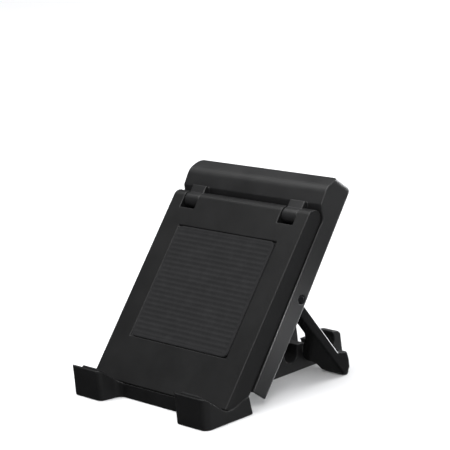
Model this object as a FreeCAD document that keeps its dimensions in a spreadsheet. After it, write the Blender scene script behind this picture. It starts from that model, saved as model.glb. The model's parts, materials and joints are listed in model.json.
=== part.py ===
import FreeCAD, Part
import os
import Sketcher
from FreeCAD import Placement, Rotation, Vector

# A folding phone stand.
#
# Row frame: +X is the stand's width, +Y points to the back, +Z is up. The origin is on the
# ground, at mid-width, below the tray's rear edge.
#
# Three local frames keep the outlines simple. All of them turn about X only:
#   row frame    tray, stay and their pads
#   slope frame  plate and back frame: local Z runs up the slope, local Y runs rearwards, and the
#                origin is the corner where the phone's lower rear edge sits
#   leg frame    the folding leg: origin on its axle, local -Z runs down the leg

DOC = FreeCAD.newDocument("PhoneStand")

# Driving dimensions, in millimetres and degrees.
DIMENSIONS = [
    ("width", 59.0),
    ("lean", 39.0),
    ("seat_y", -9.03),
    ("seat_z", 3.89),
    ("tray_depth", 16.8),
    ("tray_rear_z", 5.2),
    ("tray_bottom", 0.0),
    ("lip_width", 0.9),
    ("saddle_drop", 0.4),
    ("saddle_radius", 5.0),
    ("bar_setback", 10.4),
    ("gap_half", 16.5),
    ("gap_root_half", 15.2),
    ("plate_width", 58.0),
    ("plate_depth", 5.1),
    ("plate_depth_low", 6.3),
    ("hinge_up", 59.3),
    ("hinge_back", 2.55),
    ("frame_front", 5.25),
    ("frame_front_low", 6.6),
    ("frame_back", 12.3),
    ("frame_back_top", 10.9),
    ("frame_bottom", 8.3),
    ("frame_knee", 32.0),
    ("frame_top", 73.1),
    ("head_front", 1.7),
    ("cove_radius", 2.85),
    ("wall", 1.3),
    ("skin", 1.15),
    ("tub_top", 58.2),
    ("rib_back", 8.5),
    ("lug_inner", 18.0),
    ("lug_outer", 24.0),
    ("lug_radius", 2.35),
    ("side_gap", 0.2),
    ("axle_up", 37.8),
    ("axle_back", 9.76),
    ("axle_radius", 1.4),
    ("running", 0.03),
    ("leg_tilt", 34.4),
    ("leg_half", 28.0),
    ("barrel_radius", 2.55),
    ("barrel_neck", 2.1),
    ("leg_depth", 2.55),
    ("leg_back", 0.3),
    ("arm_inner", 23.5),
    ("foot_inner", 14.2),
    ("boss_inner", 13.0),
    ("boss_radius", 3.3),
    ("stay_y", 6.2),
    ("stay_z", 7.0),
    ("stay_half", 12.6),
    ("stay_barrel_half", 10.2),
    ("stay_barrel_radius", 2.05),
    ("stay_end", 52.4),
    ("stay_top", 7.8),
    ("stay_slot_half", 6.4),
    ("notch_first", 31.6),
    ("notch_second", 39.1),
    ("notch_third", 47.0),
    ("notch_z", 5.6),
    ("notch_radius", 2.6),
    ("ear_inner", 10.4),
    ("ear_outer", 12.9),
    ("stay_pin_radius", 1.1),
    ("hinge_pin_radius", 1.0),
    ("pad_thick", 0.7),
    ("pad_proud", 0.2),
]

SHEET = DOC.addObject("Spreadsheet::Sheet", "Sheet")
for row, (alias, number) in enumerate(DIMENSIONS, start=1):
    SHEET.set("A%d" % row, alias)
    SHEET.set("B%d" % row, str(number))
    SHEET.setAlias("B%d" % row, alias)
DOC.recompute()


def cell(text):
    """Write an expression with plain aliases as one that reads them from the sheet."""
    words = []
    for word in str(text).split():
        if word in ALIASES:
            word = "Sheet." + word
        words.append(word)
    return " ".join(words)


ALIASES = [alias for alias, number in DIMENSIONS]


def value(text):
    """The present number of an expression."""
    return float(SHEET.evalExpression(cell(text)))


def origin_plane(body, role):
    """The body's own origin plane of that role."""
    for feature in body.Origin.OriginFeatures:
        if feature.Role == role:
            return feature
    raise RuntimeError("no plane " + role)


def new_body(label):
    body = DOC.addObject("PartDesign::Body", label)
    body.Label = label
    return body


def new_sketch(body, name, role, offset="0"):
    """A sketch on an origin plane, moved along that plane's normal by an expression."""
    sketch = body.newObject("Sketcher::SketchObject", name)
    sketch.AttachmentSupport = [(origin_plane(body, role), "")]
    sketch.MapMode = "FlatFace"
    sketch.setExpression("AttachmentOffset.Base.z", cell(offset))
    return sketch


def outline(body, name, role, points, offset="0"):
    """A closed polygon. Each point is a pair of expressions, and each becomes a constraint."""
    sketch = new_sketch(body, name, role, offset)
    count = len(points)
    places = [Vector(value(across), value(along), 0) for across, along in points]
    for index in range(count):
        start = places[index]
        end = places[(index + 1) % count]
        sketch.addGeometry(Part.LineSegment(start, end), False)
    for index in range(count):
        sketch.addConstraint(Sketcher.Constraint("Coincident", index, 2, (index + 1) % count, 1))
    for index, (across, along) in enumerate(points):
        hold_point(sketch, index, 1, across, along)
    return sketch


def hold_point(sketch, curve, end, across, along):
    """Fix one point of a sketch by two driving expressions."""
    for kind, text in (("DistanceX", across), ("DistanceY", along)):
        number = sketch.addConstraint(Sketcher.Constraint(kind, curve, end, value(text)))
        sketch.setExpression("Constraints[%d]" % number, cell(text))


def disc(body, name, role, centre, radius, offset="0"):
    """A circle with its centre and radius bound to expressions."""
    sketch = new_sketch(body, name, role, offset)
    place = Vector(value(centre[0]), value(centre[1]), 0)
    sketch.addGeometry(Part.Circle(place, Vector(0, 0, 1), value(radius)), False)
    hold_point(sketch, 0, 3, centre[0], centre[1])
    number = sketch.addConstraint(Sketcher.Constraint("Radius", 0, value(radius)))
    sketch.setExpression("Constraints[%d]" % number, cell(radius))
    return sketch


def rectangle(left, right, low, high):
    """Corner expressions of an upright rectangle."""
    return [(left, low), (right, low), (right, high), (left, high)]


def pad(body, sketch, length, midplane=False, backwards=False):
    """Add the sketch's area, along its normal unless told otherwise."""
    feature = body.newObject("PartDesign::Pad", sketch.Name + "_pad")
    feature.Profile = sketch
    feature.setExpression("Length", cell(length))
    feature.Midplane = midplane
    feature.Reversed = backwards
    DOC.recompute()
    return feature


def pocket(body, sketch, length, midplane=False, backwards=False):
    """Cut the sketch's area against its normal, and make sure that the cut removed something."""
    before = body.Shape.Volume
    feature = body.newObject("PartDesign::Pocket", sketch.Name + "_pocket")
    feature.Profile = sketch
    feature.setExpression("Length", cell(length))
    feature.Midplane = midplane
    feature.Reversed = backwards
    DOC.recompute()
    if body.Shape.Volume > before - 1e-3:
        raise RuntimeError(sketch.Name + " cut nothing")
    return feature


def mirror_sides(body, *features):
    """Repeat features on the other side of the mid-width plane."""
    mirror = body.newObject("PartDesign::Mirrored", features[0].Name + "_mirror")
    mirror.Originals = list(features)
    mirror.MirrorPlane = (origin_plane(body, "YZ_Plane"), [""])
    body.Tip = mirror
    DOC.recompute()


def edges_where(shape, test):
    """Names of the edges whose mid-point and direction pass a test."""
    names = []
    for number, edge in enumerate(shape.Edges, start=1):
        middle = edge.valueAt((edge.FirstParameter + edge.LastParameter) / 2)
        ends = edge.valueAt(edge.LastParameter) - edge.valueAt(edge.FirstParameter)
        if test(middle, ends):
            names.append("Edge%d" % number)
    return names


def fillet(body, radius, test):
    """Round the edges that pass a test, in the body's own frame."""
    tip = body.Tip
    flat = tip.Shape.copy()
    names = edges_where(flat, test)
    if not names:
        raise RuntimeError("no edge to round on " + body.Label)
    feature = body.newObject("PartDesign::Fillet", body.Name + "_round")
    feature.Base = (tip, names)
    feature.Radius = radius
    DOC.recompute()
    if "Invalid" in feature.State or feature.Shape.isNull():
        raise RuntimeError("rounding failed on %s at %s" % (body.Label, names))
    return feature


def near(number, target, margin=0.05):
    return abs(number - target) < margin


def runs_along_x(ends):
    return abs(ends.x) > 1.0 and abs(ends.y) < 0.01 and abs(ends.z) < 0.01


def runs_along_y(ends):
    return abs(ends.y) > 1.0 and abs(ends.x) < 0.01 and abs(ends.z) < 0.01


def runs_along_z(ends):
    return abs(ends.z) > 1.0 and abs(ends.x) < 0.01 and abs(ends.y) < 0.01


def place_on_slope(piece):
    """Put a piece in the slope frame."""
    piece.Placement = Placement(Vector(0, 0, 0), Rotation(Vector(1, 0, 0), -value("lean")))
    piece.setExpression("Placement.Base.y", cell("seat_y"))
    piece.setExpression("Placement.Base.z", cell("seat_z"))


def on_slope(across, up):
    """Row-frame Y and Z, as expressions, of a place in the slope frame."""
    y = "seat_y + ( %s ) * cos( lean ) + ( %s ) * sin( lean )" % (across, up)
    z = "seat_z - ( %s ) * sin( lean ) + ( %s ) * cos( lean )" % (across, up)
    return y, z


AXLE_Y, AXLE_Z = on_slope("axle_back", "axle_up")


def place_on_leg(piece):
    """Put a piece in the leg frame: on the axle, tilted like the open leg."""
    piece.Placement = Placement(Vector(0, 0, 0), Rotation(Vector(1, 0, 0), value("leg_tilt")))
    piece.setExpression("Placement.Base.y", cell(AXLE_Y))
    piece.setExpression("Placement.Base.z", cell(AXLE_Z))


# Cradle ---------------------------------------------------------------------------------------

def make_tray():
    """The tray: a saddle that takes the phone's lower edge, open at the middle of its front."""
    body = new_body("tray")
    lip_y = "- tray_depth + lip_width"
    lip_z = "seat_z - saddle_drop / cos( lean ) + ( seat_y + tray_depth - lip_width ) * tan( lean )"
    root_z = "seat_z - saddle_drop / cos( lean ) + 0.17 * tan( lean )"
    side = [
        ("- tray_depth", "tray_bottom"),
        ("- tray_depth", lip_z),
        (lip_y, lip_z),
        ("seat_y - 0.17", root_z),
        ("-7.0", "tray_rear_z - 1.9"),
        ("-5.0", "tray_rear_z - 1.45"),
        ("-3.0", "tray_rear_z - 0.6"),
        ("-1.5", "tray_rear_z - 0.15"),
        ("-0.3", "tray_rear_z"),
        ("0.4", "tray_bottom"),
    ]
    pad(body, outline(body, "tray_side", "YZ_Plane", side), "width", midplane=True)
    opening = [
        ("- gap_half", "- tray_depth - 1"),
        ("gap_half", "- tray_depth - 1"),
        ("gap_half", "- tray_depth"),
        ("gap_root_half", "- bar_setback"),
        ("- gap_root_half", "- bar_setback"),
        ("- gap_half", "- tray_depth"),
    ]
    pocket(body, outline(body, "tray_opening", "XY_Plane", opening), "20", backwards=True)
    root = value("seat_y - 0.17")
    depth = value("tray_depth")
    gap = value("gap_half")
    gap_root = value("gap_root_half")
    half = value("width / 2")
    fillet(body, 2.0, lambda m, e: runs_along_z(e) and near(abs(m.x), gap) and near(m.y, -depth))
    fillet(body, 2.4, lambda m, e: runs_along_z(e) and near(abs(m.x), gap_root, 0.3)
           and near(m.y, -value("bar_setback"), 0.3))
    fillet(body, 2.2, lambda m, e: runs_along_z(e) and near(abs(m.x), half) and near(m.y, -depth))
    fillet(body, 0.4, lambda m, e: near(m.z, value("tray_bottom")) and m.y < -1)
    fillet(body, value("saddle_radius"), lambda m, e: runs_along_x(e) and near(m.y, root))
    fillet(body, 4.0, lambda m, e: runs_along_x(e) and near(m.y, -7.0) and m.z > 2)
    for sign in (-1, 1):
        side_name = "left" if sign < 0 else "right"
        recess = rectangle(
            "%d * 27 " % sign, "%d * 18.5" % sign, "-14.6", "-3.4")
        sketch = outline(body, "foot_recess_" + side_name, "XY_Plane", recess)
        pocket(body, sketch, "tray_bottom + 0.85", backwards=True)
    return body


def make_plate():
    """The plate behind the phone, with a rounded top end that works as the hinge's barrel."""
    body = new_body("plate")
    side = [
        ("0", "0"),
        ("plate_depth_low", "2"),
        ("plate_depth", "hinge_up"),
        ("0", "hinge_up"),
    ]
    pad(body, outline(body, "plate_side", "YZ_Plane", side), "plate_width", midplane=True)
    barrel = disc(body, "plate_barrel", "YZ_Plane", ("hinge_back", "hinge_up"), "plate_depth / 2")
    pad(body, barrel, "plate_width", midplane=True)
    for sign in (-1, 1):
        side_name = "left" if sign < 0 else "right"
        notch = rectangle(
            "%d * ( lug_outer + side_gap ) " % sign, "%d * ( lug_inner - side_gap )" % sign,
            "hinge_up - 3.6", "hinge_up + 4")
        sketch = outline(body, "lug_notch_" + side_name, "XZ_Plane", notch)
        pocket(body, sketch, "20", midplane=True)
    face = rectangle("-21", "21", "14", "50")
    pocket(body, outline(body, "back_pad_recess", "XZ_Plane", face), "pad_thick - pad_proud")
    cell_width = 12.0
    pitch = 13.4
    for column in range(4):
        left = (column - 2) * pitch + (pitch - cell_width) / 2
        core = rectangle(str(left), str(left + cell_width), "12", "52")
        sketch = outline(body, "core_%d" % column, "XZ_Plane", core, "- plate_depth")
        pocket(body, sketch, "2.6", backwards=True)
    bore = disc(body, "plate_bore", "YZ_Plane", ("hinge_back", "hinge_up"), "hinge_pin_radius")
    pocket(body, bore, "56", midplane=True)
    place_on_slope(body)
    return body


def make_cradle():
    """Tray and plate are one moulding."""
    cradle = DOC.addObject("Part::Fuse", "cradle_shell")
    cradle.Label = "cradle_shell"
    cradle.Base = make_tray()
    cradle.Tool = make_plate()
    cradle.Refine = True
    DOC.recompute()
    return cradle


def make_back_pad():
    """The grip pad let into the plate."""
    body = new_body("back_pad")
    inset = 0.1
    face = rectangle(str(-21 + inset), str(21 - inset), str(14 + inset), str(50 - inset))
    sketch = outline(body, "back_pad_face", "XZ_Plane", face, "pad_proud")
    pad(body, sketch, "pad_thick", backwards=True)
    fillet(body, 2.0, lambda m, e: runs_along_y_short(e) and abs(m.x) > 20)
    place_on_slope(body)
    return body


def runs_along_y_short(ends):
    return abs(ends.y) > 0.3 and abs(ends.x) < 0.01 and abs(ends.z) < 0.01


def make_seat_pad(side_name, sign):
    """A grip pad on the saddle of one end block."""
    body = new_body("seat_pad_" + side_name)
    outer = "%d * 25.8" % sign
    inner = "%d * 18.2" % sign
    face = rectangle(outer, inner, "-8.2", "-3.6")
    sketch = outline(body, "seat_pad_face_" + side_name, "XY_Plane", face, "- saddle_drop")
    pad(body, sketch, "pad_thick")
    fillet(body, 1.2, lambda m, e: abs(e.z) > 0.3 and abs(e.x) < 0.01)
    place_on_slope(body)
    return body


def make_front_foot(side_name, sign):
    """An anti-slip foot let into the tray's underside."""
    body = new_body("front_foot_" + side_name)
    inset = 0.1
    face = rectangle(
        "%d * %s" % (sign, 27 - inset), "%d * %s" % (sign, 18.5 + inset),
        str(-14.6 + inset), str(-3.4 - inset))
    pad(body, outline(body, "foot_face_" + side_name, "XY_Plane", face), "tray_bottom + 0.8")
    fillet(body, 1.2, lambda m, e: abs(e.z) > 0.3 and abs(e.x) < 0.01)
    return body


def make_hinge_pin(side_name, sign):
    """A steel pin pressed in the plate's barrel. It carries one lug of the back frame."""
    body = new_body("cradle_pin_" + side_name)
    reach = "%d * 14" % sign
    sketch = disc(body, "pin_" + side_name, "YZ_Plane", ("hinge_back", "hinge_up"),
                  "hinge_pin_radius", reach)
    pad(body, sketch, "14", backwards=sign < 0)
    fillet(body, 0.25, lambda m, e: abs(m.x) > 13)
    place_on_slope(body)
    return body


# Back frame -----------------------------------------------------------------------------------

def make_frame():
    """The back frame: a tub open to the back, with a head that swells over the plate's end."""
    body = new_body("frame_housing")
    side = [
        ("frame_front_low", "frame_bottom"),
        ("frame_front", "hinge_up - 2"),
        ("frame_front", "hinge_up + 0.9"),
        ("head_front + 2.1", "hinge_up + 2.6"),
        ("head_front + 0.6", "hinge_up + 4.4"),
        ("head_front", "hinge_up + 9.6"),
        ("head_front + 2.6", "frame_top"),
        ("frame_back_top", "frame_top"),
        ("frame_back", "frame_knee"),
        ("frame_back", "frame_bottom"),
    ]
    pad(body, outline(body, "frame_side", "YZ_Plane", side), "width", midplane=True)
    half = value("width / 2")
    top = value("frame_top")
    bulge = value("hinge_up + 9.6")
    fillet(body, 5.0, lambda m, e: runs_along_x(e) and near(m.z, bulge) and m.y < 5)
    fillet(body, 1.8, lambda m, e: near(abs(m.x), half) and near(m.z, top) and runs_along_y(e))
    fillet(body, 1.0, lambda m, e: m.y > 8 and (
        (near(abs(m.x), half) and abs(e.z) > 10) or (runs_along_x(e) and near(m.z, top))))
    cove = disc(body, "cove", "YZ_Plane", ("hinge_back", "hinge_up"), "cove_radius")
    pocket(body, cove, "width + 2", midplane=True)
    tub = [
        ("frame_front_low + skin + 0.2", "0"),
        ("frame_front + skin", "tub_top"),
        ("20", "tub_top"),
        ("20", "0"),
    ]
    pocket(body, outline(body, "tub", "YZ_Plane", tub), "width - 2 * wall", midplane=True)
    for sign in (-1, 1):
        side_name = "left" if sign < 0 else "right"
        room = rectangle(
            "%d * ( width / 2 - 2.6 ) " % sign, "%d * 1.2" % sign,
            "tub_top + 1.8", "frame_top - 2.4")
        sketch = outline(body, "head_hollow_" + side_name, "XZ_Plane", room, "- rib_back + 1.2")
        pocket(body, sketch, "20")
    add_frame_ribs(body)
    add_frame_ears(body)
    add_frame_lugs(body)
    axle = disc(body, "axle_hole", "YZ_Plane", ("axle_back", "axle_up"), "axle_radius")
    pocket(body, axle, "width + 2", midplane=True)
    place_on_slope(body)
    return body


def add_frame_ribs(body):
    """Low ribs on the tub's floor: two across the stand, and three between them up the slope."""
    start = "- frame_front - skin / 2"
    depth = "rib_back - frame_front - skin / 2"
    for name, low, high in (("high", "54.2", "55.4"), ("low", "46.4", "47.6")):
        cross = rectangle("- width / 2 + wall / 2", "width / 2 - wall / 2", low, high)
        sketch = outline(body, "cross_rib_" + name, "XZ_Plane", cross, start)
        pad(body, sketch, depth, backwards=True)
    for name, middle in (("left", -19.0), ("mid", 0.0), ("right", 19.0)):
        upright = rectangle(str(middle - 0.6), str(middle + 0.6), "47", "tub_top + 0.5")
        sketch = outline(body, "upright_" + name, "XZ_Plane", upright, start)
        pad(body, sketch, depth, backwards=True)


def add_frame_ears(body):
    """Two ears at the bottom that hold the stay's pin."""
    stay_up, stay_back = stay_on_slope()
    thick = "ear_outer - ear_inner"
    neck = rectangle(
        "frame_front + skin", stay_back, "%s - 2.4" % stay_up, "%s + 2.4" % stay_up)
    neck_pad = pad(body, outline(body, "ear_neck", "YZ_Plane", neck, "ear_inner"), thick)
    round_end = disc(body, "ear_round", "YZ_Plane", (stay_back, stay_up), "2.4", "ear_inner")
    round_pad = pad(body, round_end, thick)
    mirror_sides(body, neck_pad, round_pad)
    hole = disc(body, "stay_pin_hole", "YZ_Plane", (stay_back, stay_up), "stay_pin_radius")
    pocket(body, hole, "2 * ear_outer + 0.4", midplane=True)


def stay_on_slope():
    """The stay's hinge in the slope frame: distance up the slope, and distance back."""
    run = "( stay_y - seat_y )"
    rise = "( stay_z - seat_z )"
    up = "( %s * sin( lean ) + %s * cos( lean ) )" % (run, rise)
    back = "( %s * cos( lean ) - %s * sin( lean ) )" % (run, rise)
    return up, back


def add_frame_lugs(body):
    """Two lugs under the head that reach into the plate's notches, with the hinge bore."""
    thick = "lug_outer - lug_inner"
    bridge = rectangle("hinge_back - 1.4", "hinge_back + 2", "hinge_up", "hinge_up + 4.4")
    bridge_pad = pad(body, outline(body, "lug_bridge", "YZ_Plane", bridge, "lug_inner"), thick)
    eye = disc(body, "lug_eye", "YZ_Plane", ("hinge_back", "hinge_up"), "lug_radius", "lug_inner")
    eye_pad = pad(body, eye, thick)
    mirror_sides(body, bridge_pad, eye_pad)
    bore = disc(body, "lug_bore", "YZ_Plane", ("hinge_back", "hinge_up"),
                "hinge_pin_radius + running")
    pocket(body, bore, "2 * lug_outer + 0.4", midplane=True)


def make_rod(label, centre, radius, length, place):
    """A straight steel pin across the stand, with slightly rounded ends."""
    body = new_body(label)
    pad(body, disc(body, label + "_circle", "YZ_Plane", centre, radius), length, midplane=True)
    fillet(body, 0.25, lambda m, e: abs(m.x) > 5)
    place(body)
    return body


# Leg ------------------------------------------------------------------------------------------

def make_leg():
    """The leg: a barrel across the tub, two arms that flare to wide feet, and a boss per foot."""
    body = new_body("leg_frame")
    neck = disc(body, "leg_neck", "YZ_Plane", ("0", "0"), "barrel_neck")
    pad(body, neck, "2 * leg_half", midplane=True)
    barrel = disc(body, "leg_barrel", "YZ_Plane", ("0", "0"), "barrel_radius", "13.6")
    barrel_pad = pad(body, barrel, "leg_half - 13.6")
    arm = [
        ("leg_half", "0"),
        ("leg_half", "-30.6"),
        ("18.8", "-30.6"),
        ("18.3", "-28.6"),
        ("16.6", "-27.4"),
        ("foot_inner + 0.6", "-27.2"),
        ("foot_inner", "-26.2"),
        ("16.2", "-23"),
        ("18.9", "-19.2"),
        ("21.8", "-16"),
        ("arm_inner", "-13"),
        ("arm_inner", "0"),
    ]
    arm_pad = pad(body, outline(body, "leg_arm", "XZ_Plane", arm, "- leg_back"), "leg_depth + leg_back")
    toe = [
        ("- leg_depth", "-24"),
        ("- leg_depth", "-30.6"),
        ("-1.2", "-31.5"),
        ("0.6", "-30.9"),
        ("2.0", "-28.8"),
        ("2.9", "-26.6"),
        ("1.9", "-25.6"),
        ("leg_back", "-23.8"),
    ]
    sketch = outline(body, "leg_toe", "YZ_Plane", toe, "18.8")
    toe_pad = pad(body, sketch, "leg_half - 18.8")
    boss = disc(body, "leg_boss", "YZ_Plane", ("1.41", "-27.75"), "boss_radius", "boss_inner")
    boss_pad = pad(body, boss, "19.4 - boss_inner")
    mirror_sides(body, barrel_pad, arm_pad, toe_pad, boss_pad)
    bore = disc(body, "leg_bore", "YZ_Plane", ("0", "0"), "axle_radius + running")
    pocket(body, bore, "2 * leg_half + 2", midplane=True)
    place_on_leg(body)
    return body


def make_leg_foot(side_name, sign):
    """An anti-slip strip under one toe of the leg, down to the ground."""
    body = new_body("leg_foot_" + side_name)
    strip = [
        ("- leg_depth + 0.2", "-30.75"),
        ("- leg_depth + 0.4", "-31.3"),
        ("-1.3", "-32.05"),
        ("-0.4", "-31.75"),
        ("-0.2", "-31.25"),
        ("-1.2", "-31.65"),
    ]
    start = "19.4" if sign > 0 else "-27.4"
    sketch = outline(body, "leg_foot_side_" + side_name, "YZ_Plane", strip, start)
    pad(body, sketch, "8")
    place_on_leg(body)
    return body


# Stay -----------------------------------------------------------------------------------------

def make_stay():
    """The stay: lies on the ground, with three round notches for the feet of the leg."""
    body = new_body("stay_bar")
    side = [
        ("stay_y + 1.2", "5.2"),
        ("11.4", "tray_bottom"),
        ("stay_end - 0.8", "tray_bottom"),
        ("stay_end", "0.8"),
        ("stay_end - 0.2", "6.5"),
        ("stay_end - 1.1", "7.4"),
        ("notch_third + 1.6", "stay_top"),
        ("notch_third - 2.2", "6.9"),
        ("notch_second + 2.4", "6.9"),
        ("notch_second - 2.4", "stay_top"),
        ("8.6", "stay_top + 0.8"),
    ]
    pad(body, outline(body, "stay_side", "YZ_Plane", side), "2 * stay_half", midplane=True)
    fillet(body, 0.5, lambda m, e: runs_along_x(e) and m.y > 49)
    barrel = disc(body, "stay_barrel", "YZ_Plane", ("stay_y", "stay_z"), "stay_barrel_radius")
    pad(body, barrel, "2 * stay_barrel_half", midplane=True)
    for name in ("first", "second", "third"):
        centre = "notch_" + name
        notch = disc(body, "round_" + name, "YZ_Plane", (centre, "notch_z"), "notch_radius")
        pocket(body, notch, "40", midplane=True)
        reach = "notch_radius" if name == "first" else "1.9"
        mouth = rectangle("%s - %s" % (centre, reach), "%s + %s" % (centre, reach), "notch_z", "12")
        pocket(body, outline(body, "mouth_" + name, "YZ_Plane", mouth), "40", midplane=True)
    slot = rectangle("- stay_slot_half", "stay_slot_half", "notch_first + 5", "stay_end + 2")
    pocket(body, outline(body, "stay_slot", "XY_Plane", slot), "20", backwards=True)
    cheek = rectangle("stay_barrel_half", "stay_half + 1", "0", "9.4")
    cheek_cut = pocket(body, outline(body, "stay_cheek", "XY_Plane", cheek), "20", backwards=True)
    mirror_sides(body, cheek_cut)
    recess = rectangle("7.2", "11.8", "42.9", "49.7")
    recess_cut = pocket(body, outline(body, "stay_recess", "XY_Plane", recess),
                        "tray_bottom + 0.65", backwards=True)
    mirror_sides(body, recess_cut)
    bore = disc(body, "stay_bore", "YZ_Plane", ("stay_y", "stay_z"), "stay_pin_radius + running")
    pocket(body, bore, "2 * stay_half + 2", midplane=True)
    return body


def make_stay_foot(side_name, sign):
    """An anti-slip pad under one prong of the stay."""
    body = new_body("stay_foot_" + side_name)
    face = rectangle("%d * 11.7" % sign, "%d * 7.3" % sign, "43", "49.6")
    pad(body, outline(body, "stay_foot_face_" + side_name, "XY_Plane", face), "tray_bottom + 0.6")
    return body


# Build, check and write -------------------------------------------------------------------------

def check_document():
    for item in DOC.Objects:
        if "Invalid" in item.State or "Error" in item.State:
            raise RuntimeError("%s is %s" % (item.Label, item.State))


def write_parts(pieces):
    os.makedirs("parts", exist_ok=True)
    for piece in pieces:
        shape = piece.Shape
        if shape.isNull() or not shape.isValid():
            raise RuntimeError(piece.Label + " has no valid shape")
        shape.exportStep("parts/%s.step" % piece.Label)


SIDES = (("left", -1), ("right", 1))
PIECES = [make_cradle(), make_back_pad(), make_frame(), make_leg(), make_stay()]
for side, direction in SIDES:
    PIECES.append(make_seat_pad(side, direction))
    PIECES.append(make_front_foot(side, direction))
    PIECES.append(make_hinge_pin(side, direction))
    PIECES.append(make_leg_foot(side, direction))
    PIECES.append(make_stay_foot(side, direction))
STAY_CENTRE = ("stay_y", "stay_z")
PIECES.append(make_rod("leg_axle", ("0", "0"), "axle_radius", "width", place_on_leg))
PIECES.append(make_rod("stay_pin", STAY_CENTRE, "stay_pin_radius", "2 * ear_outer", lambda b: None))
DOC.recompute()
check_document()
write_parts(PIECES)
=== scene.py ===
import json
import math

import bmesh
import bpy
from mathutils import Matrix, Vector


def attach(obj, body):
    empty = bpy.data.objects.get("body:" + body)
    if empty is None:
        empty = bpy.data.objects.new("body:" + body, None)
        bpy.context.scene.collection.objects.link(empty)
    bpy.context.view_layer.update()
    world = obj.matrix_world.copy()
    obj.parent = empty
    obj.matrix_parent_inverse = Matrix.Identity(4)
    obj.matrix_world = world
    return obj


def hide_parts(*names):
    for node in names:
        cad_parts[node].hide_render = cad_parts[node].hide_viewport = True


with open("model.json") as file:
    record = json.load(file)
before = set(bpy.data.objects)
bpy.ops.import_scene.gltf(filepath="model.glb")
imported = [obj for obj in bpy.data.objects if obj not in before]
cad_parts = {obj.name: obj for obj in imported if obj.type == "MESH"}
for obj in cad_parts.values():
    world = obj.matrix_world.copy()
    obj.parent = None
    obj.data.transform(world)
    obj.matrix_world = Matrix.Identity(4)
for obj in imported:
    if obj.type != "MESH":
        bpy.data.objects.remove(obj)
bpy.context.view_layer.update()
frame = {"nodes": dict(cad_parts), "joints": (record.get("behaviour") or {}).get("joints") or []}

MM = 0.001


def pivot(name):
    """Where a joint of the frame turns."""
    return Vector(next(joint for joint in frame["joints"] if joint["name"] == name)["pos_m"])


HINGE = pivot("frame_swing")
AXLE = pivot("leg_fold")
STAY_HINGE = pivot("stay_fold")

# The plate leans back from upright by this much. SEAT is the corner, in millimetres of Y and Z,
# where the phone's lower rear edge sits. Places on the plate are given from there.
LEAN = math.radians(39.0)
UP_SLOPE = Vector((0, math.sin(LEAN), math.cos(LEAN)))
OFF_SLOPE = Vector((0, -math.cos(LEAN), math.sin(LEAN)))
SEAT = (-9.03, 3.89)


def slope_point(x, back, up):
    """A point given in millimetres in the frame of the plate."""
    return Vector((x, SEAT[0], SEAT[1])) * MM + UP_SLOPE * (up * MM) - OFF_SLOPE * (back * MM)


# Materials --------------------------------------------------------------------------------------

# The scale of each kind of noise: about how many cells it has along a metre.
CLOUDS = 90.0
WEAR = 420.0
PITS = 1900.0
GRAINS = 5200.0

# How far the worn line along an edge reaches, in metres.
WORN_REACH = 0.0005


class Nodes:
    """A node tree under construction: short calls that add and join its nodes."""

    def __init__(self, tree, coordinates):
        self.tree = tree
        self.place = self.add("ShaderNodeTexCoord").outputs[coordinates]

    def add(self, kind, **settings):
        """Add a node. Each setting is one of its inputs, or else one of its properties."""
        node = self.tree.nodes.new(kind)
        for key, setting in settings.items():
            if key in node.inputs:
                node.inputs[key].default_value = setting
            else:
                setattr(node, key, setting)
        return node

    def link(self, start, end):
        self.tree.links.new(start, end)

    def feed(self, socket, source):
        """Give a socket another node's output, or a fixed number, vector or opaque colour."""
        if isinstance(source, bpy.types.NodeSocket):
            self.link(source, socket)
        elif socket.type == "RGBA":
            socket.default_value = source + (1.0,)
        else:
            socket.default_value = source

    def noise(self, scale, detail=2.0, roughness=0.5, vector=None):
        node = self.add("ShaderNodeTexNoise", Scale=scale, Detail=detail, Roughness=roughness)
        self.link(vector or self.place, node.inputs["Vector"])
        return node.outputs["Fac"]

    def spread(self, source, low, high, start=0.3, end=0.7, shape="LINEAR"):
        """Map a signal that runs from start to end onto the range from low to high."""
        limits = {"From Min": start, "From Max": end, "To Min": low, "To Max": high}
        node = self.add("ShaderNodeMapRange", interpolation_type=shape, **limits)
        self.link(source, node.inputs["Value"])
        return node.outputs["Result"]

    def mix(self, factor, first, second):
        """A colour between two colours or colour sources."""
        node = self.add("ShaderNodeMix", data_type="RGBA")
        self.link(factor, node.inputs[0])
        self.feed(node.inputs[6], first)
        self.feed(node.inputs[7], second)
        return node.outputs[2]

    def combine(self, first, second, operation="ADD"):
        """One signal made from two signals or numbers."""
        node = self.add("ShaderNodeMath", operation=operation)
        self.feed(node.inputs[0], first)
        self.feed(node.inputs[1], second)
        return node.outputs[0]

    def dot(self, first, second):
        node = self.add("ShaderNodeVectorMath", operation="DOT_PRODUCT")
        self.feed(node.inputs[0], first)
        self.feed(node.inputs[1], second)
        return node.outputs["Value"]


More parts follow.
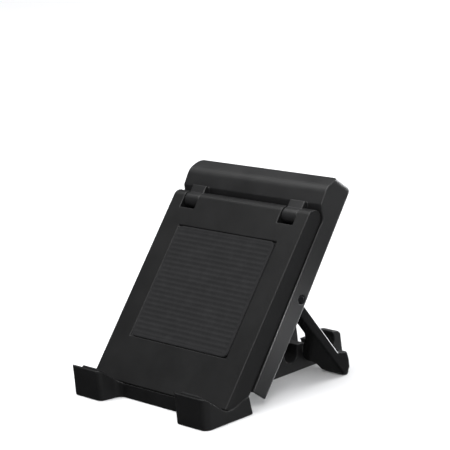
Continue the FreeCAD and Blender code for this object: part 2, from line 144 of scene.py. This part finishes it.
class Paint(Nodes):
    """A material under construction."""

    def __init__(self, name):
        self.material = bpy.data.materials.new(name)
        self.material.use_nodes = True
        super().__init__(self.material.node_tree, "Object")
        self.shader = self.tree.nodes["Principled BSDF"]

    def stretched(self, scale):
        """Object coordinates stretched along the axes, for turned grain."""
        mapping = self.add("ShaderNodeMapping", Scale=scale)
        self.link(self.place, mapping.inputs["Vector"])
        return mapping.outputs["Vector"]

    def rounded_normal(self, radius, samples):
        """The normal as it would be if every edge were rounded."""
        return self.add("ShaderNodeBevel", samples=samples, Radius=radius).outputs["Normal"]

    def edges(self, radius):
        """1 on sharp edges and 0 on flats, found by how far a rounded normal turns."""
        true_normal = self.add("ShaderNodeNewGeometry").outputs["Normal"]
        agreement = self.dot(self.rounded_normal(radius, 6), true_normal)
        return self.spread(agreement, 1.0, 0.0, 0.75, 0.98)

    def bump(self, height, strength, distance, rounding=0.0):
        """Relief from a height signal, over normals that turn softly round sharp edges."""
        node = self.add("ShaderNodeBump", Strength=strength, Distance=distance)
        self.link(height, node.inputs["Height"])
        if rounding:
            self.link(self.rounded_normal(rounding, 8), node.inputs["Normal"])
        self.link(node.outputs["Normal"], self.shader.inputs["Normal"])

    def along_slope(self, middle, reach):
        """A bell curve up the slope: 1 at middle, 1/e at reach above and below it."""
        start = slope_point(0, 0, middle).dot(UP_SLOPE)
        height = self.combine(self.dot(self.place, UP_SLOPE), -start)
        offset = self.combine(height, 1.0 / (reach * MM), "MULTIPLY")
        square = self.combine(offset, offset, "MULTIPLY")
        return self.combine(math.e, self.combine(square, -1.0, "MULTIPLY"), "POWER")

    def finish(self, colour, roughness, specular, metallic=0.0):
        self.feed(self.shader.inputs["Base Color"], colour)
        self.feed(self.shader.inputs["Roughness"], roughness)
        self.feed(self.shader.inputs["Specular IOR Level"], specular)
        self.feed(self.shader.inputs["Metallic"], metallic)
        return self.material


def moulded_plastic(name, colour, roughness, specular, grain=1.0, painted_sheen=None, rounding=0.0004):
    """Black moulded plastic: fine spark-eroded grain, faint flow clouds, and polished edges.

    Given a height up the slope and a reach, a band there gets a painted highlight: its specular
    level is raised, standing in for a reflected lamp.
    """
    build = Paint(name)
    # Painted highlight: a band up the slope with a raised specular level, in place of a reflected
    # lamp.
    if painted_sheen:
        painted_sheen_gain = build.combine(build.along_slope(*painted_sheen), 1.5, "MULTIPLY")
        specular = build.combine(specular, painted_sheen_gain)
    clouds = build.noise(CLOUDS, 3.0, 0.6)
    patches = build.spread(build.noise(WEAR, 3.0), 0.2, 1.0)
    worn = build.combine(build.edges(WORN_REACH), patches, "MULTIPLY")
    dull = tuple(channel * 0.78 for channel in colour)
    pale = tuple(channel * 2.2 + 0.006 for channel in colour)
    base = build.mix(build.spread(clouds, 0.0, 1.0, 0.35, 0.65), dull, colour)
    base = build.mix(build.combine(worn, 0.35, "MULTIPLY"), base, pale)
    rough = build.combine(
        build.spread(clouds, roughness - 0.04, roughness + 0.05),
        build.combine(worn, -0.12, "MULTIPLY"))
    pits = build.combine(build.noise(PITS, 1.0, 0.4), 0.5, "MULTIPLY")
    height = build.combine(build.noise(GRAINS, 2.0, 0.6), pits)
    build.bump(height, 0.35 * grain, 0.00004, rounding)
    return build.finish(base, rough, specular)


def soft_rubber(name):
    """Anti-slip elastomer: deep matt black with a dusty bloom."""
    build = Paint(name)
    dust = build.spread(build.noise(260.0, 4.0, 0.7), 0.0, 1.0, 0.45, 0.75)
    base = build.mix(dust, (0.0100, 0.0100, 0.0106), (0.0140, 0.0140, 0.0147))
    grains = build.noise(3800.0, 2.0, 0.7)
    build.bump(grains, 0.5, 0.00006)
    return build.finish(base, build.spread(grains, 0.72, 0.9), 0.3)


def dark_steel(name):
    """Oxide-blackened steel pin with turning rings round its axis."""
    build = Paint(name)
    rings = build.noise(1.0, 2.0, 0.6, build.stretched((9000.0, 700.0, 700.0)))
    spots = build.spread(build.noise(1500.0, 3.0, 0.6), 0.0, 1.0)
    base = build.mix(spots, (0.018, 0.018, 0.020), (0.045, 0.045, 0.048))
    build.bump(rings, 0.25, 0.00003)
    return build.finish(base, build.spread(rings, 0.28, 0.42), 0.5, metallic=1.0)


PAINTS = {
    "shell": moulded_plastic("shell_plastic", (0.0046, 0.0046, 0.0048), 0.46, 0.45),
    # The frame's sides get a painted highlight band 29 mm up the slope, standing in for a reflected
    # lamp.
    "frame": moulded_plastic(
        "frame_plastic", (0.0100, 0.0100, 0.0103), 0.42, 0.55, painted_sheen=(29.0, 13.0)),
    "leg": moulded_plastic(
        "leg_plastic", (0.0022, 0.0022, 0.0024), 0.22, 0.35, grain=0.4, rounding=0.0007),
    "stay": moulded_plastic("stay_plastic", (0.0090, 0.0090, 0.0094), 0.42, 0.6),
    "grip": soft_rubber("grip_rubber"),
    "pin": dark_steel("pin_steel"),
}


# Pieces -----------------------------------------------------------------------------------------

def new_piece(name, form):
    """An object made from a bmesh, smooth shaded, in the row's own frame."""
    mesh = bpy.data.meshes.new(name)
    form.normal_update()
    form.to_mesh(mesh)
    form.free()
    mesh.shade_smooth()
    piece = bpy.data.objects.new(name, mesh)
    bpy.context.scene.collection.objects.link(piece)
    return piece


def stand_for(piece, node, body, paint):
    """Let a new piece stand for a CAD node, on its body, in its own paint.

    The stay's plastic has a duller finish than the leg's.
    """
    piece.data.materials.clear()
    piece.data.materials.append(PAINTS[paint])
    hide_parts(node)
    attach(piece, body)


# Moulded shells ---------------------------------------------------------------------------------

# Corners of the CAD mesh that are this near, in metres, are one.
WELD = 2e-6
# Edges that turn less than FLAT_ANGLE are dissolved. Those that turn more than SHARP_ANGLE are
# rounded. Both are in degrees.
FLAT_ANGLE = 1.0
SHARP_ANGLE = 28.0
# What counts as an edge of the outer rim: how near it is to the side and how long, in metres,
# and how far it turns, in degrees.
RIM_TOLERANCE = 2e-5
RIM_LENGTH = 0.0009
RIM_ANGLE = 60.0

# node: body, paint, edge rounding, and the side and rounding of its outer rim, in metres
SHELLS = {
    "cradle_shell": ("cradle", "shell", 0.0002, None),
    "frame_housing": ("back_frame", "frame", 0.0002, None),
    "leg_frame": ("leg", "leg", 0.0002, (0.028, 0.0006)),
    "stay_bar": ("stay", "stay", 0.00015, None),
    "leg_foot_left": ("leg", "grip", 0.00008, None),
    "leg_foot_right": ("leg", "grip", 0.00008, None),
}


def apply_modifiers(piece):
    """Bake a piece's modifiers into its mesh."""
    graph = bpy.context.evaluated_depsgraph_get()
    graph.update()
    final = bpy.data.meshes.new_from_object(piece.evaluated_get(graph))
    piece.modifiers.clear()
    piece.data = final


def round_rim(form, side, width):
    """Round the long edges of the outermost faces, at |x| = side, more than the rest."""
    rim = [
        edge for edge in form.edges
        if all(abs(abs(corner.co.x) - side) < RIM_TOLERANCE for corner in edge.verts)
        and edge.calc_length() > RIM_LENGTH
        and len(edge.link_faces) == 2
        and math.degrees(edge.calc_face_angle(0.0)) > RIM_ANGLE]
    bmesh.ops.bevel(
        form, geom=rim, offset=width, segments=5, profile=0.5, affect="EDGES", clamp_overlap=False)


def rounded_copy(node, width, rim=None):
    """The node's form with every sharp edge rounded. rim is what round_rim takes."""
    mesh = frame["nodes"][node].data.copy()
    piece = bpy.data.objects.new(node + "_moulded", mesh)
    bpy.context.scene.collection.objects.link(piece)
    form = bmesh.new()
    form.from_mesh(mesh)
    bmesh.ops.remove_doubles(form, verts=form.verts, dist=WELD)
    bmesh.ops.dissolve_limit(
        form, angle_limit=math.radians(FLAT_ANGLE), verts=form.verts, edges=form.edges)
    if rim:
        round_rim(form, *rim)
    form.to_mesh(mesh)
    form.free()
    bevel = piece.modifiers.new("edge_rounding", "BEVEL")
    bevel.width = width
    bevel.segments = 3
    bevel.limit_method = "ANGLE"
    bevel.angle_limit = math.radians(SHARP_ANGLE)
    bevel.use_clamp_overlap = False
    weigh = piece.modifiers.new("flat_normals", "WEIGHTED_NORMAL")
    weigh.keep_sharp = False
    piece.data.shade_smooth()
    apply_modifiers(piece)
    return piece


for node, (body, paint, width, rim) in SHELLS.items():
    stand_for(rounded_copy(node, width, rim), node, body, paint)


# Rubber pads ------------------------------------------------------------------------------------

BACKWARDS = Vector((0, 1, 0))
DOWN = Vector((0, 0, -1))

# In millimetres: the soft edge's radius, the plain margin inside it, and how soon the ribs reach
# their full depth.
SOFT_EDGE = 0.3
MARGIN = 0.7
FADE = 0.5


def rounded_place(x, y, inner_x, inner_y):
    """Move a grid point onto rounded corners, and say how far outside the inner box it is."""
    over_x = max(0.0, abs(x) - inner_x)
    over_y = max(0.0, abs(y) - inner_y)
    reach = math.hypot(over_x, over_y)
    outside = max(over_x, over_y)
    if reach > 1e-9:
        x = math.copysign(min(abs(x), inner_x) + over_x * outside / reach, x)
        y = math.copysign(min(abs(y), inner_y) + over_y * outside / reach, y)
    return x, y, outside


def pad_form(wide, long, thick, corner, pitch, depth, step):
    """A rounded pad with a soft edge and a ribbed top, centred on its base.

    All sizes are in millimetres. pitch and depth are the ribs', and step is the mesh's.
    """
    form = bmesh.new()
    columns = max(8, round(wide / step))
    rows = max(8, round(long / step))
    inner_x = wide / 2 - corner
    inner_y = long / 2 - corner
    edge = min(SOFT_EDGE, thick * 0.6)
    grid = []
    for j in range(rows + 1):
        line = []
        for i in range(columns + 1):
            x, y, outside = rounded_place(
                (i / columns - 0.5) * wide, (j / rows - 0.5) * long, inner_x, inner_y)
            if outside > 0:
                inset = corner - outside
            else:
                inset = corner + min(inner_x - abs(x), inner_y - abs(y))
            drop = edge - math.sqrt(max(0.0, edge ** 2 - max(0.0, edge - inset) ** 2))
            calm = min(1.0, max(0.0, (inset - MARGIN) / FADE))
            rib = (0.5 - 0.5 * math.cos(2 * math.pi * y / pitch)) ** 0.6
            line.append(form.verts.new((x * MM, y * MM, (thick - drop - depth * calm * rib) * MM)))
        grid.append(line)
    for j in range(rows):
        for i in range(columns):
            form.faces.new((grid[j][i], grid[j][i + 1], grid[j + 1][i + 1], grid[j + 1][i]))
    right_side = [line[-1] for line in grid[:-1]]
    left_side = [line[0] for line in grid[:0:-1]]
    rim = grid[0][:-1] + right_side + grid[-1][:0:-1] + left_side
    foot = [form.verts.new((top.co.x, top.co.y, 0.0)) for top in rim]
    for k in range(len(rim)):
        after = (k + 1) % len(rim)
        form.faces.new((rim[after], rim[k], foot[k], foot[after]))
    form.faces.new(foot[::-1])
    return form


def lay(form, centre, along, out):
    """Turn a pad so that its ribs cross `along` and its top looks `out`, then move it to centre."""
    across = along.cross(out)
    turn = Matrix((across, along, out)).transposed().to_4x4()
    form.transform(Matrix.Translation(centre) @ turn)


pad = pad_form(wide=41.8, long=35.8, thick=0.7, corner=2.0, pitch=1.5, depth=0.16, step=0.19)
lay(pad, slope_point(0, 0.5, 32.0), UP_SLOPE, OFF_SLOPE)
stand_for(new_piece("back_pad_ribbed", pad), "back_pad", "cradle", "grip")

for side, sign in (("left", -1), ("right", 1)):
    pad = pad_form(wide=7.6, long=4.6, thick=0.7, corner=1.2, pitch=0.9, depth=0.14, step=0.1)
    lay(pad, slope_point(22.0 * sign, -5.9, -0.4), OFF_SLOPE, UP_SLOPE)
    stand_for(new_piece("seat_pad_ribbed_" + side, pad), "seat_pad_" + side, "cradle", "grip")
    pad = pad_form(wide=8.3, long=11.0, thick=0.8, corner=1.2, pitch=1.1, depth=0.14, step=0.12)
    lay(pad, Vector((22.75 * sign, -9.0, 0.8)) * MM, BACKWARDS, DOWN)
    stand_for(new_piece("front_foot_ribbed_" + side, pad), "front_foot_" + side, "cradle", "grip")
    pad = pad_form(wide=4.4, long=6.6, thick=0.6, corner=0.5, pitch=0.95, depth=0.12, step=0.1)
    lay(pad, Vector((9.5 * sign, 46.3, 0.6)) * MM, BACKWARDS, DOWN)
    stand_for(new_piece("stay_foot_ribbed_" + side, pad), "stay_foot_" + side, "stay", "grip")


# Turned pins ------------------------------------------------------------------------------------

# node: the piece's name, its body, its start and end along X, its radius, and its axis
PINS = {
    "leg_axle": ("leg_axle_turned", "back_frame", -29.5, 29.5, 1.4, AXLE),
    "stay_pin": ("stay_pin_turned", "back_frame", -12.9, 12.9, 1.1, STAY_HINGE),
    "cradle_pin_left": ("cradle_pin_turned_left", "cradle", -28.0, -14.0, 1.0, HINGE),
    "cradle_pin_right": ("cradle_pin_turned_right", "cradle", 14.0, 28.0, 1.0, HINGE),
}


def turned_pin(start, end, radius, axis, sides=64):
    """A steel pin along X with chamfered ends, and a shallow centre mark in each.

    start, end and radius are in millimetres. axis is a point in metres.
    """
    half = (end - start) / 2
    half_profile = [
        (half - 0.22, 0.0),  # the bottom of the centre mark
        (half - 0.02, radius * 0.2),
        (half - 0.02, radius * 0.66),  # the face
        (half - 0.1, radius * 0.7),  # a groove round the face
        (half - 0.1, radius * 0.76),
        (half, radius * 0.8),  # the ring outside the groove
        (half, radius - 0.22),
        (half - 0.06, radius - 0.1),  # the chamfer
        (half - 0.24, radius)]
    profile = [(-along, out) for along, out in half_profile] + half_profile[::-1]
    form = bmesh.new()
    rings = []
    for along, out in profile:
        x = (start + end) / 2 + along
        ring = []
        for k in range(sides if out else 1):
            turn = 2 * math.pi * k / sides
            ring.append(form.verts.new((
                x * MM, axis.y + out * MM * math.cos(turn), axis.z + out * MM * math.sin(turn))))
        rings.append(ring)
    for first, second in zip(rings, rings[1:]):
        for k in range(sides):
            after = (k + 1) % sides
            corners = [first[k % len(first)], first[after % len(first)],
                       second[after % len(second)], second[k % len(second)]]
            form.faces.new(list(dict.fromkeys(corners)))
    return form


for node, (name, body, start, end, radius, axis) in PINS.items():
    stand_for(new_piece(name, turned_pin(start, end, radius, axis)), node, body, "pin")


# Stage ------------------------------------------------------------------------------------------

def make_floor():
    """A white floor. It is just below the feet, so that it shares no plane with them.

    Gloss doesn't mirror it, so that the black plastic stays black.
    """
    bpy.ops.mesh.primitive_plane_add(size=6.0, location=(0, 0, -0.00005))
    floor = bpy.context.object
    floor.name = "floor"
    floor.data.materials.append(Paint("floor_paint").finish((0.88, 0.88, 0.88), 0.6, 0.2))
    floor.visible_glossy = False


def make_light(name, place, target, size, power):
    """A square lamp at a place, in metres, that faces its target."""
    lamp = bpy.data.lights.new(name, "AREA")
    lamp.size = size
    lamp.energy = power
    holder = bpy.data.objects.new(name, lamp)
    holder.location = place
    holder.rotation_euler = (Vector(target) - Vector(place)).to_track_quat("-Z", "Y").to_euler()
    bpy.context.scene.collection.objects.link(holder)


def make_world():
    """Even white for the eye and the floor.

    What gloss mirrors is a dim wash, brightest towards one side, and a strong glow behind.
    """
    wash_side = (0.72, 0.62, 0.30)
    glow_side = (-0.22, 0.97, -0.10)
    world = bpy.data.worlds.new("studio")
    bpy.context.scene.world = world
    world.use_nodes = True
    build = Nodes(world.node_tree, "Generated")
    plain = build.tree.nodes["Background"]
    plain.inputs["Color"].default_value = (0.96, 0.97, 1.0, 1.0)
    plain.inputs["Strength"].default_value = 0.8
    mirrored = build.add("ShaderNodeBackground", Color=(0.97, 0.98, 1.0, 1.0))
    wash = build.spread(build.dot(build.place, wash_side), 0.04, 0.30, -0.9, 1.0, "SMOOTHSTEP")
    glow = build.spread(build.dot(build.place, glow_side), 0.0, 8.0, 0.88, 0.985, "SMOOTHSTEP")
    build.link(build.combine(wash, glow), mirrored.inputs["Strength"])
    path = build.add("ShaderNodeLightPath")
    choice = build.add("ShaderNodeMixShader")
    build.link(path.outputs["Is Glossy Ray"], choice.inputs[0])
    build.link(plain.outputs[0], choice.inputs[1])
    build.link(mirrored.outputs[0], choice.inputs[2])
    build.link(choice.outputs[0], build.tree.nodes["World Output"].inputs["Surface"])


def make_camera():
    """A long lens from the front right, a little above the stand, rolled slightly."""
    place = Vector((0.4233, -0.3404, 0.1801))
    right = Vector((0.665, 0.7407, -0.0954)).normalized()
    ahead = Vector((-0.7381, 0.6323, -0.2353)).normalized()
    up = right.cross(ahead).normalized()
    right = ahead.cross(up)
    data = bpy.data.cameras.new("camera")
    data.lens = 159.75
    data.sensor_width = 36.0
    data.clip_start = 0.01
    camera = bpy.data.objects.new("camera", data)
    turn = Matrix((right, up, -ahead)).transposed().to_4x4()
    camera.matrix_world = Matrix.Translation(place) @ turn
    bpy.context.scene.collection.objects.link(camera)
    bpy.context.scene.camera = camera


make_floor()
make_world()
make_light("key", (0.55, -0.38, 0.56), (0, 0.02, 0.02), 0.30, 3.2)
make_light("back", (0.25, 0.75, 0.70), (0, 0.02, 0.02), 0.5, 4.0)
make_light("top", (-0.3, -0.2, 1.2), (0, 0.0, 0.02), 0.9, 12.0)
make_camera()
bpy.context.scene.view_settings.view_transform = "Standard"
